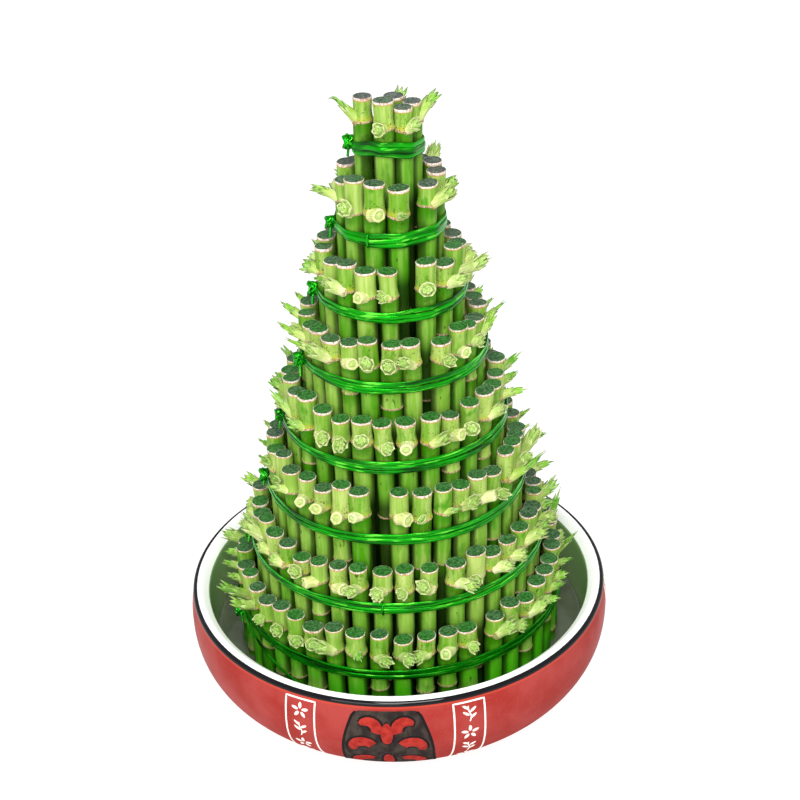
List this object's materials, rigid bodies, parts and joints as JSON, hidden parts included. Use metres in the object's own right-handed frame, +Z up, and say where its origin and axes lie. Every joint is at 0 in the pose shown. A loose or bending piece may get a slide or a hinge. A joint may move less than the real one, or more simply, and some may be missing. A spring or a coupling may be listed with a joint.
{
  "type": "lucky bamboo tower in a bowl",
  "caption": "Stepped tower of cut lucky bamboo stalks with sprouts, each tier held by a green wire tie, standing in a low round glazed bowl of water.",
  "frame": {"origin": "centre of the bowl's foot on the surface it stands on", "axes": "+Z up along the bowl's axis, -Y towards the front of the bowl with its decoration, +X to the right seen from the front"},
  "size_m": [0.264, 0.264, 0.3896],
  "materials": {
    "red_glaze": "glossy red glaze with a black line and a white inner rim",
    "water": "clear still water over a dark glaze",
    "stalk": "satin green skin, paler above the node, tops sealed with dark green wax",
    "tie": "shiny green metallic foil on wire"
  },
  "bodies": {
    "root": {"bowl": "red_glaze", "water": "water", "tier_1_stalks": "stalk", "tie_1": "tie", "tier_2_stalks": "stalk", "tie_2": "tie", "tier_3_stalks": "stalk", "tie_3": "tie", "tier_4_stalks": "stalk", "tie_4": "tie", "tier_5_stalks": "stalk", "tie_5": "tie", "tier_6_stalks": "stalk", "tie_6": "tie", "tier_7_stalks": "stalk", "tie_7": "tie", "tier_8_stalks": "stalk", "tie_8": "tie"}
  },
  "joints": []
}
